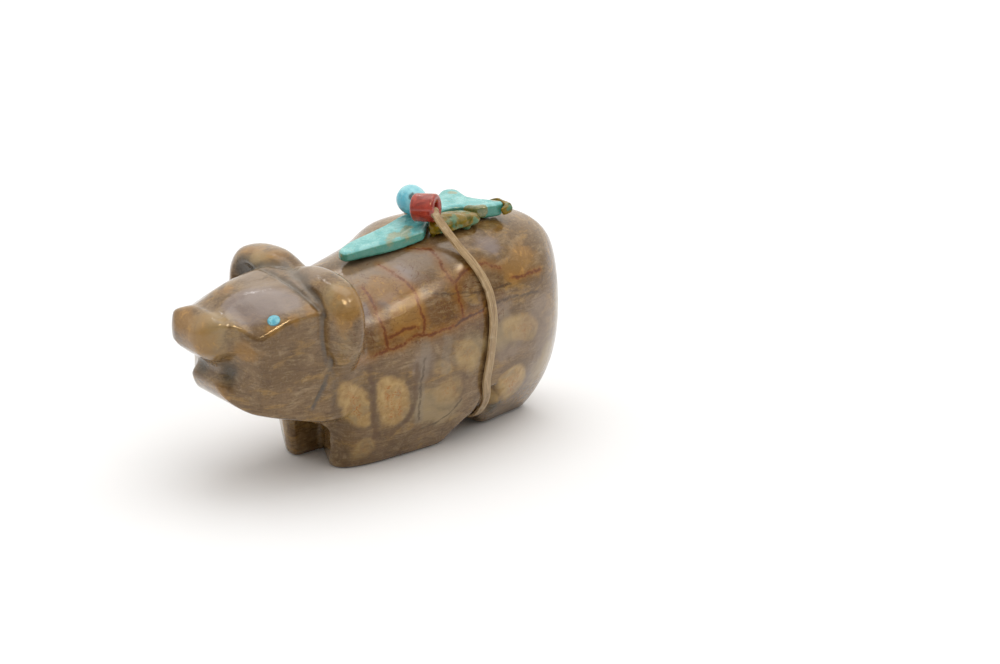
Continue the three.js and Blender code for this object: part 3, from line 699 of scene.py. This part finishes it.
far_shift = (6, 2)  # how far on and up the marks lie on the right flank
long_wave = 0.16
short_wave = 0.1
bare_crest = 4  # no veins or bands run nearer the crest than this
x, y, z = points.T
right_side = y > 0
flank = (x + np.where(right_side, far_shift[0], 0), -np.abs(y), z - np.where(right_side, far_shift[1], 0))
wavy_x = flank[0] + long_wave * np.sin(1.1 * z) + short_wave * np.sin(2.9 * z + x)
wavy_z = flank[2] + long_wave * np.sin(0.9 * x) + short_wave * np.sin(2.6 * x + 1)
wavy_flank = (wavy_x, flank[1], wavy_z)
at_crest = np.clip(bare_crest - np.abs(y), 0, bare_crest)


def mark(piece, name, values):
    """Keeps a value at each corner of a piece for its finish to read."""
    kept = piece.data.attributes.new(name, "FLOAT", "POINT")
    kept.data.foreach_set("value", np.asarray(values, np.float32))


def from_paths(paths):
    """Distance to the nearest of a few veins or bands, greater at the crest."""
    return np.minimum.reduce([along_path(path, *wavy_flank) for path in paths]) + at_crest


def from_cells(cells):
    """Distance to the nearest outline on the side, negative inside it. It grows over the back."""
    rings = [outline(cell, 3) for cell in cells]
    nearest = np.minimum.reduce([outline_distance(ring, flank[0], flank[2]) for ring in rings])
    return nearest + 2 * np.maximum(6 + flank[1], 0)


def near_places(where, places):
    """How near points are to any of a few places, from 0 to 1. Each place has its own reach."""
    total = 0
    for middle, reach in places:
        away = ((where - np.array(middle)) ** 2).sum(1)
        total = total + np.exp(-away / reach**2)
    return np.clip(total, 0, 1)


mark(bear, "rust_vein", from_paths(rust_veins))
mark(bear, "dark_vein", from_paths(dark_veins))
mark(bear, "brown_band", from_paths(brown_bands))
mark(bear, "grey_band", from_paths(grey_bands))
mark(bear, "pale_cell", from_cells(pale_cells))
mark(bear, "gold_and_glint", near_places(points, gold_and_glint_patches))
mark(bear, "grey", near_places(points, grey_patches))
warm_x = ((x - warm_middle[0]) / warm_half[0]) ** 4
warm_z = ((z - warm_middle[1]) / warm_half[1]) ** 2
mark(bear, "warm", np.exp(-warm_z - warm_x) * (np.abs(y) > bare_crest))
mark(bear, "painted_sheen", near_places(points, sheen_patches))
mark(bear, "pale", near_places(points, pale_patches))
mark(bear, "clear_cell", near_places(points, clear_cells))
mark(bear, "residue_and_shade", residue_and_shade)
mark(bear, "hollow_shade", np.clip(near_places(points, shaded_hollows) + 0.5 * in_line, 0, 1))

stone = Finish("picture_stone")
at = stone.place()
broad = stone.noise(at, 0.1, 3)
cloud = stone.noise(at, 0.3, 5, 0.62, 0.7)
mottle = stone.noise(at, 0.75, 5, 0.65, 0.5)
streaks = stone.noise(stone.place((0.5, 0.5, 2), (0.2, 0.3, 0)), 0.8, 5, 0.65, 0.9)
grain = stone.noise(at, 3.2, 4, 0.7)
drift = stone.noise(stone.place((1, 1, 1.7), (0.25, 0.2, 0.3)), 0.2, 4, 0.6, 1)
soft = stone.noise(stone.place((0.6, 0.6, 1.5), (0.3, -0.2, 0.5), (5, 2, 9)), 0.34, 5, 0.6, 0.8)
warm = stone.read("warm") + (cloud - 0.5) * 0.9
base = stone.mix(stone.step(broad, 0.36, 0.64), colour("6a4f2b"), colour("7c6140"))
base = stone.wash(base, stone.step(warm, 0.3, 0.8) * 0.75, "6c4926")
base = stone.wash(base, stone.step(drift, 0.5, 0.66) * 0.7, "957d5c")
base = stone.wash(base, stone.step(soft, 0.52, 0.66) * 0.75, "96743c")
base = stone.wash(base, stone.step(cloud, 0.47, 0.34) * 0.6, "5b4122")
base = stone.wash(base, stone.step(streaks, 0.54, 0.7) * 0.3, "957c58")
base = stone.wash(base, stone.step(streaks, 0.46, 0.32) * 0.3, "4f381e")
base = stone.wash(base, stone.step(mottle, 0.46, 0.33) * 0.3, "4c361d")
lines = stone.noise(stone.place((0.3, 0.45, 2), (0.1, 0.3, 0.05)), 1.7, 5, 0.7, 0.6)
base = stone.wash(base, stone.step(lines, 0.47, 0.36) * 0.5, "46301a")
base = stone.wash(base, stone.step(lines, 0.54, 0.66) * 0.35, "a08a62")
base = stone.wash(base, stone.step(grain, 0.44, 0.34) * 0.3, "3e2c1a")
base = stone.wash(base, stone.step(grain, 0.56, 0.66) * 0.25, "a89470")
grey = stone.step(stone.read("grey") + (cloud - 0.5) * 1.3, 0.2, 0.85)
base = stone.wash(base, grey * 0.6, "8c7b6c")
# Painted sheen on the tops of the crown, shoulders and back.
painted_sheen = stone.step(stone.read("painted_sheen") + (cloud - 0.5) * 1.2, 0.25, 0.9)
base = stone.wash(base, painted_sheen * 0.6, "8e8486")
light = stone.step(stone.read("pale") + (cloud - 0.5) * 1.4, 0.25, 0.9)
base = stone.wash(base, light * 0.6, "a5916a")
# Golden stone and painted glints. The second, brighter wash lightens the same places further.
gold_and_glint = stone.step(stone.read("gold_and_glint") + (cloud - 0.5) * 1.6, 0.3, 0.9)
base = stone.wash(base, gold_and_glint * 0.6, "966c2a")
base = stone.wash(base, gold_and_glint * stone.step(mottle, 0.54, 0.68) * 0.5, "c09048")
base = stone.wash(base, stone.step(mottle, 0.55, 0.68) * stone.step(warm, 0.2, 0.7) * 0.4, "96702f")

cell_edge = stone.read("pale_cell") + (cloud - 0.5) * 3.6 + (mottle - 0.5) * 0.8
clear = stone.step(stone.read("clear_cell"), 0.1, 0.6, 0.5, 1)
pale = stone.step(cell_edge, 0.8, -0.8)
rim = stone.step(cell_edge, 2.4, 0.9) * (1 - pale)
cream = stone.mix(stone.step(mottle, 0.3, 0.7), colour("977440"), colour("bb9c62"))
cream = stone.wash(cream, stone.step(cloud, 0.5, 0.36) * 0.5, "8f8060")
base = stone.wash(base, rim * clear * 0.35, "54402a")
base = stone.mix(pale * clear * 0.9, base, cream)
fleck = stone.step(stone.noise(at, 1.5, 4, 0.75, 1), 0.5, 0.6) * stone.step(cell_edge, -1.2, -2.6)
base = stone.wash(base, fleck * clear * 0.75, "a05c1c")
band_edge = (cloud - 0.5) * 1.6 + (mottle - 0.5) * 1.2
grey_streak = stone.step(stone.read("grey_band") + band_edge, 1.7, 0.8)
base = stone.wash(base, grey_streak * 0.35, "857866")
brown_streak = stone.step(stone.read("brown_band") + band_edge * 1.3, 1.1, 0.2)
base = stone.wash(base, brown_streak * 0.7, "5a4026")

wander = (mottle - 0.5) * 0.9 + (grain - 0.5) * 0.9
worn = stone.step(stone.noise(at, 0.5, 3), 0.25, 0.45, 0.35, 1)
rust = stone.step(stone.read("rust_vein") + wander, 0.58, 0.18) * worn
halo = stone.step(stone.read("rust_vein") + (cloud - 0.5) * 3, 2.2, 0)
hair = stone.noise(at, 0.22, 4, 0.55, 1.6)
off_hair = stone.node("Math", {"operation": "ABSOLUTE"}, {0: hair - 0.5})
thin = stone.step(off_hair, 0.009, 0.002) * stone.step(warm, 0.1, 0.5)
base = stone.wash(base, halo * 0.45, "96641f")
base = stone.wash(base, thin * 0.75, "5e3214")
base = stone.wash(base, rust * 0.85, "7a3f10")
core = stone.step(stone.read("rust_vein") + wander, 0.34, 0.08)
base = stone.wash(base, core * worn * 0.6, "4c280a")
broken = stone.step(grain, 0.32, 0.5)
dark = stone.step(stone.read("dark_vein") + wander * 0.8, 0.45, 0.1)
base = stone.wash(base, dark * broken * 0.7, "3a2c1e")
# Residue and painted shade along the groove.
groove_dark = stone.step(stone.read("residue_and_shade") + (mottle - 0.5) * 0.8, 0.3, 1)
base = stone.wash(base, groove_dark * 0.6, "4e4d4b")
# Painted shade in the hollows and along the groove. It also makes the polish rougher there.
hollow_shade = stone.step(stone.read("hollow_shade") + (mottle - 0.5) * 0.9, 0.25, 1)
base = stone.wash(base, hollow_shade * 0.7, "3a3a32")
ripple = mottle * 0.5 + grain * (0.12 + stone.step(warm, 0.2, 0.8) * 0.14)
stone.close(
    {
        "Base Color": base,
        "Roughness": stone.step(mottle + hollow_shade * 0.4, 0.3, 1, 0.07, 0.28),
        "IOR": 1.52,
        "Normal": stone.bump(ripple, 0.14, 0.6),
    }
)


def dress(piece, finish, node):
    """Gives a piece its finish and its place in the frame."""
    piece.data.materials.append(finish.material)
    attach(piece, "root")
    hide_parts(node)


dress(bear, stone, "bear")

# Eyes
# Each eye is a turquoise dot in a drilled socket, with a dark line of glue round it. The left one
# is slightly domed and the right one is ground flush.
eye_radius = 0.92 * mm
eye_thickness = {"eye_left": 0.3 * mm, "eye_right": 0.06 * mm}
eye_sunk = 0.35  # share of its thickness that its middle lies below the face

eye_stone = Finish("eye_turquoise")
at = eye_stone.place()
cloud = eye_stone.noise(at, 1.1, 4)
base = eye_stone.mix(eye_stone.step(cloud, 0.35, 0.65), colour("55abc6"), colour("86cfe0"))
speck = eye_stone.step(eye_stone.noise(at, 3, 3), 0.6, 0.68)
base = eye_stone.wash(base, speck * 0.5, "3a6a70")
glue_line = eye_stone.step(eye_stone.read("from_middle"), 0.84, 0.96)
base = eye_stone.wash(base, glue_line * 0.6, "4a4034")
eye_stone.close(
    {
        "Base Color": base,
        "Roughness": eye_stone.step(cloud, 0.3, 0.7, 0.1, 0.22),
        "Normal": eye_stone.bump(cloud, 0.02, 0.5),
    }
)


def middle_of(node):
    low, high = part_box(node)
    return (Vector(low) + Vector(high)) / 2


def settle(piece):
    """Leaves the finished piece unturned and unscaled at the origin."""
    bpy.ops.object.select_all(action="DESELECT")
    piece.select_set(True)
    bpy.context.view_layer.objects.active = piece
    bpy.ops.object.transform_apply(location=True, rotation=True, scale=True)


for node, thickness in eye_thickness.items():
    on_face = draw_onto(bear_form, to_form(np.array([middle_of(node)])), 6, 3)
    out = Vector(steepness(bear_form, on_face)[0]).normalized()
    seat = Vector(((on_face[0] - np.array([form_middle[0], form_middle[1], 0])) * share).tolist())
    seat = seat - out * (thickness * eye_sunk)
    bpy.ops.mesh.primitive_uv_sphere_add(segments=48, ring_count=24, radius=eye_radius)
    eye = bpy.context.object
    eye.name = node + "_dot"
    eye.data.name = eye.name
    eye.scale.z = thickness / eye_radius
    eye.rotation_euler = out.to_track_quat("Z", "Y").to_euler()
    eye.location = seat
    settle(eye)
    off = corners_of(eye) - np.array(seat)
    along = off @ np.array(out)
    mark(eye, "from_middle", np.sqrt(np.maximum((off**2).sum(1) - along**2, 0)) / eye_radius)
    smooth_shading(eye)
    dress(eye, eye_stone, node)

# Arrowhead
# A flat turquoise point, greener on its ground sides, with tan matrix showing in its top. It lies on
# the back, held by the glue and the tie.
tan_patches = [  # middle and reach, in millimetres
    ((2, -2.3, 30.8), 1.3), ((4.8, -2.1, 31.2), 1), ((0.4, -3, 30), 0.8), ((3.4, -3.6, 30.6), 1.1),
    ((10, 2.6, 32), 0.9), ((18, 3.4, 32.6), 0.9), ((-5.9, -0.4, 29), 0.35),
]
glued_places = [
    ((12.2, -3.2, 32.3), 1.6), ((16.4, -4.4, 31.6), 1.3), ((9.2, -3.2, 31.8), 1.2),
    ((20.2, -3.6, 32.2), 1.3), ((15, -3.2, 32.6), 0.9), ((19.9, -1, 32.4), 0.9),
]
arrow_voxel = 0.13
arrow_rounds = 5


def fine_copy(node, name, voxel, rounds):
    """A copy of a solid, meshed finely, its voxel in millimetres, and smoothed a few rounds."""
    piece = copy_of(node, name)
    apply_modifier(piece, "REMESH", mode="VOXEL", voxel_size=voxel * mm)
    apply_modifier(piece, "SMOOTH", factor=0.5, iterations=rounds)
    smooth_shading(piece)
    return piece


def upward(piece):
    """How far each corner of a piece faces up."""
    flat = np.empty(len(piece.data.vertices) * 3)
    piece.data.vertices.foreach_get("normal", flat)
    return flat.reshape(-1, 3)[:, 2]


arrow = fine_copy("arrowhead", "arrowhead_stone", arrow_voxel, arrow_rounds)
mark(arrow, "up", upward(arrow))
mark(arrow, "tan", near_places(corners_of(arrow) / mm, tan_patches))
mark(arrow, "glued", near_places(corners_of(arrow) / mm, glued_places))
turquoise = Finish("green_turquoise")
at = turquoise.place()
cloud = turquoise.noise(at, 0.45, 5, 0.6, 0.5)
mottle = turquoise.noise(at, 1.3, 5, 0.65)
grain = turquoise.noise(at, 6, 3)
base = turquoise.mix(turquoise.step(cloud, 0.36, 0.66), colour("5fb3b8"), colour("8fd0d4"))
base = turquoise.wash(base, turquoise.step(mottle, 0.52, 0.7) * 0.5, "56a595")
ground_side = turquoise.step(turquoise.read("up") + (cloud - 0.5) * 0.5, 0.8, 0.25)
base = turquoise.wash(base, ground_side * 0.8, "3f8a74")
tan = turquoise.step(turquoise.read("tan") + (mottle - 0.5) * 1.5, 0.35, 0.85)
base = turquoise.wash(base, tan * 0.65, "9a9060")
speck = turquoise.step(turquoise.noise(at, 1.8, 4, 0.7), 0.62, 0.68)
base = turquoise.wash(base, speck * 0.6, "6e6a3e")
film_edge = turquoise.read("glued") + (cloud - 0.5) * 1.2 + (mottle - 0.5) * 0.6
film = turquoise.step(film_edge, 0.4, 0.6)
olive = turquoise.mix(turquoise.step(mottle, 0.4, 0.6), colour("5d6220"), colour("837a34"))
base = turquoise.mix(film * 0.88, base, olive)
relief = cloud * 0.8 + mottle * 0.35 + grain * 0.05 + film * 0.3
turquoise.close(
    {
        "Base Color": base,
        "Roughness": turquoise.step(mottle, 0.3, 0.7, 0.16, 0.34),
        "Coat Weight": film * 0.9,
        "Normal": turquoise.bump(relief, 0.16, 0.7),
    }
)
dress(arrow, turquoise, "arrowhead")

# Turquoise bead
# A rounded sky-blue nugget bead, tumbled smooth and drilled through, the far one on the thread.
nugget_voxel = 0.11
nugget_rounds = 8
# The mouth of the drill hole is painted here as a dark spot of shade.
hole_mouth = (6.2, -1.4, 35.5)  # in millimetres
nugget = fine_copy("turquoise_bead", "turquoise_bead_stone", nugget_voxel, nugget_rounds)
mark(nugget, "up", upward(nugget))
from_hole = corners_of(nugget) / mm - np.array(hole_mouth)
mark(nugget, "from_hole", np.linalg.norm(from_hole, axis=1))
sky = Finish("sky_turquoise")
at = sky.place()
cloud = sky.noise(at, 0.6, 5, 0.6, 0.4)
mottle = sky.noise(at, 2, 4, 0.65)
base = sky.mix(sky.step(cloud, 0.35, 0.65), colour("58b8d2"), colour("90d8ea"))
# Painted light and shade: the bead is painted darker on its underside and lighter on its top.
lit_by_facing = sky.read("up") + (cloud - 0.5) * 0.6
base = sky.wash(base, sky.step(lit_by_facing, 0.2, -0.8) * 0.6, "35899c")
base = sky.wash(base, sky.step(lit_by_facing, 0.4, 1) * 0.35, "a9dfe6")
base = sky.wash(base, sky.step(mottle, 0.64, 0.7) * 0.6, "6b7a5c")
# Painted shade: a dark spot for the mouth of the drill hole, where it shows beside the coral bead.
painted_hole_shade = sky.step(sky.read("from_hole") + (mottle - 0.5) * 0.6, 0.75, 0.35)
base = sky.wash(base, painted_hole_shade * 0.85, "2a3634")
sky.close(
    {
        "Base Color": base,
        "Roughness": sky.step(mottle, 0.3, 0.7, 0.12, 0.25),
        "Normal": sky.bump(cloud * 0.8 + mottle * 0.12, 0.1, 0.6),
    }
)
dress(nugget, sky, "turquoise_bead")

# Coral bead
# A drum cut from red coral, drilled along its length, its rims rounded by wear. It leans on the
# arrowhead, the near one on the thread.
coral_radius = 2.02 * mm
coral_length = 3.5 * mm
coral_hole = 0.8 * mm
coral_rim = 0.42 * mm
coral_axis = Vector((0.47, -0.88, 0.07))
coral_shift = Vector((-0.05, 0, 0.02)) * mm
sharp_edge = 40  # degrees
bpy.ops.mesh.primitive_cylinder_add(
    vertices=72, radius=coral_radius, depth=coral_length, end_fill_type="NOTHING"
)
coral = bpy.context.object
coral.name = "coral_bead_drum"
coral.data.name = coral.name
apply_modifier(coral, "SOLIDIFY", thickness=coral_radius - coral_hole, offset=-1)
rim_angle = math.radians(sharp_edge)
apply_modifier(coral, "BEVEL", width=coral_rim, segments=5, limit_method="ANGLE", angle_limit=rim_angle)
coral.rotation_euler = coral_axis.to_track_quat("Z", "Y").to_euler()
coral.location = middle_of("coral_bead") + coral_shift
settle(coral)
smooth_shading(coral, sharp_edge)
red = Finish("red_coral")
at = red.place()
cloud = red.noise(at, 0.7, 5, 0.6, 0.6)
growth = red.noise(red.place((0.6, 3, 3), (0.3, 0.5, 0.8)), 1, 4, 0.6)
pits = red.step(red.noise(at, 3.4, 3), 0.66, 0.72)
base = red.mix(red.step(cloud, 0.35, 0.65), colour("84241a"), colour("ae3c2c"))
base = red.wash(base, red.step(growth, 0.55, 0.72) * 0.5, "b5503a")
base = red.wash(base, red.step(growth, 0.42, 0.3) * 0.5, "54120e")
base = red.wash(base, pits * 0.7, "3c100c")
red.close(
    {
        "Base Color": base,
        "Roughness": red.step(growth, 0.3, 0.7, 0.1, 0.24),
        "Coat Weight": red.step(cloud, 0.3, 0.7, 0.3, 0.6),
        "Normal": red.bump(cloud * 0.8 + growth * 0.25 - pits * 0.4, 0.07, 0.7),
    }
)
dress(coral, red, "coral_bead")

# Sinew tie
# One turn of flat waxed sinew round the body and through both beads. Its fibres run along it, and
# it is knotted where it leaves the coral bead.
knot_at = Vector((6.8, -5.6, 33.95)) * mm
knot_radius = 0.62 * mm
knot_shape = (1, 0.75, 1.1)
join_angle = math.radians(60)  # triangles that lie flatter than this are joined to quads
long_edge = 0.45 * mm
edge_crease = 0.55
turn_height = 14  # millimetres above the sheet, about where the middle of the turn is
tie = copy_of("sinew_tie", "sinew_band")
bpy.context.view_layer.objects.active = tie
bpy.ops.object.mode_set(mode="EDIT")
bpy.ops.mesh.select_all(action="SELECT")
bpy.ops.mesh.tris_convert_to_quads(face_threshold=join_angle, shape_threshold=join_angle)
bpy.ops.mesh.select_all(action="DESELECT")
bpy.ops.object.mode_set(mode="OBJECT")
places = corners_of(tie)
ends = np.empty(len(tie.data.edges) * 2, int)
tie.data.edges.foreach_get("vertices", ends)
run = places[ends[1::2]] - places[ends[::2]]
length = np.linalg.norm(run, axis=1)
runs_along = (length > long_edge) & (np.abs(run[:, 0]) < 0.8 * length)
crease = tie.data.attributes.new("crease_edge", "FLOAT", "EDGE")
crease.data.foreach_set("value", np.where(runs_along, edge_crease, 0).astype(np.float32))
apply_modifier(tie, "SUBSURF", levels=3, render_levels=3)
bpy.ops.mesh.primitive_uv_sphere_add(segments=32, ring_count=16, radius=knot_radius, location=knot_at)
knot = bpy.context.object
knot.scale = knot_shape
bpy.ops.object.select_all(action="DESELECT")
knot.select_set(True)
tie.select_set(True)
bpy.context.view_layer.objects.active = tie
bpy.ops.object.join()
smooth_shading(tie)

# How far each corner lies across the band: its x less the mean x of its neighbours round the turn
neighbours = 161  # to each side
span = 2 * neighbours + 1
places = corners_of(tie) / mm
order = np.argsort(np.arctan2(places[:, 2] - turn_height, places[:, 1]))
along_turn = places[order, 0]
wrapped = np.concatenate([along_turn[-neighbours:], along_turn, along_turn[:neighbours]])
summed = np.cumsum(np.insert(wrapped, 0, 0))
middle_line = np.empty(len(places))
middle_line[order] = (summed[span:] - summed[:-span]) / span
mark(tie, "across", places[:, 0] - middle_line)
sinew = Finish("sinew")
at = sinew.place((0.25, 0.25, 0.25))
width = sinew.node("CombineXYZ", {}, {0: sinew.read("across") * 7})
strand_at = sinew.node("VectorMath", {"operation": "ADD"}, {0: width, 1: at})
strand = sinew.noise(strand_at, 1.1, 4, 0.6, 0.4)
fine = sinew.noise(strand_at, 3.2, 3, 0.6, 0.3)
wax = sinew.noise(sinew.place(), 0.8, 4)
base = sinew.mix(sinew.step(strand, 0.35, 0.65), colour("8a6c48"), colour("c6ab82"))
base = sinew.wash(base, sinew.step(fine, 0.5, 0.3) * 0.6, "5e4428")
base = sinew.wash(base, sinew.step(wax, 0.55, 0.7) * 0.4, "cdbb9c")
sinew.close(
    {
        "Base Color": base,
        "Roughness": sinew.step(wax, 0.35, 0.65, 0.3, 0.5),
        "Coat Weight": sinew.step(wax, 0.4, 0.7, 0.1, 0.35),
        "Normal": sinew.bump(strand * 0.7 + fine * 0.5, 0.16, 0.9),
    }
)
dress(tie, sinew, "sinew_tie")

# Glue
# Clear glue that has set and yellowed, pressed out in lumps in the notch of the arrowhead and at its
# end. Two small drops lie on the stone beside it.
drops = [((6.9, -5, 30.35), 0.42), ((12.6, -5.6, 30.75), 0.7)]  # middle and radius, in millimetres
drop_height = 0.8  # for its width
glue_voxel = 0.12 * mm
glue_rounds = 8
lump_size = 1.8 * mm
lump_height = 0.4 * mm
glue = Finish("dried_glue")
at = glue.place()
cloud = glue.noise(at, 0.5, 4, 0.6, 0.6)
mottle = glue.noise(at, 1.3, 4, 0.6)
thin = glue.noise(glue.place(shift=(3, 7, 1)), 0.45, 3)
base = glue.mix(glue.step(cloud, 0.42, 0.58), colour("4c4c0c"), colour("806812"))
# Painted light: the glue is painted lighter where it faces up.
lit_by_facing = glue.step(glue.read("up") + (mottle - 0.5) * 0.8, 0.75, 1)
base = glue.wash(base, lit_by_facing * 0.4, "8c7634")
base = glue.wash(base, glue.step(thin, 0.52, 0.62) * 0.6, "4f8c76")
base = glue.wash(base, glue.step(mottle, 0.42, 0.3) * 0.5, "3a380e")
glue.close(
    {
        "Base Color": base,
        "Roughness": glue.step(mottle, 0.3, 0.7, 0.16, 0.34),
        "Coat Weight": glue.step(cloud, 0.4, 0.7, 0, 0.15),
        "Coat Roughness": 0.04,
        "Specular IOR Level": 0.22,
        "Normal": glue.bump(cloud + mottle * 0.2, 0.14, 0.7),
    }
)
lumps = bpy.data.textures.new("glue_lumps", "CLOUDS")
lumps.noise_scale = lump_size
lumps.noise_depth = 1
for node in ("glue_notch", "glue_end"):
    lump = copy_of(node, node + "_lump")
    if node == "glue_notch":
        for middle, radius in drops:
            at_drop = Vector(middle) * mm
            bpy.ops.mesh.primitive_ico_sphere_add(subdivisions=3, radius=radius * mm, location=at_drop)
            drop = bpy.context.object
            drop.scale.z = drop_height
            bpy.ops.object.select_all(action="DESELECT")
            drop.select_set(True)
            lump.select_set(True)
            bpy.context.view_layer.objects.active = lump
            bpy.ops.object.join()
    apply_modifier(lump, "REMESH", mode="VOXEL", voxel_size=glue_voxel)
    apply_modifier(lump, "SMOOTH", factor=0.5, iterations=glue_rounds)
    raised = {"texture": lumps, "strength": lump_height, "mid_level": 0.5, "texture_coords": "LOCAL"}
    apply_modifier(lump, "DISPLACE", **raised)
    smooth_shading(lump)
    mark(lump, "up", upward(lump))
    dress(lump, glue, node)
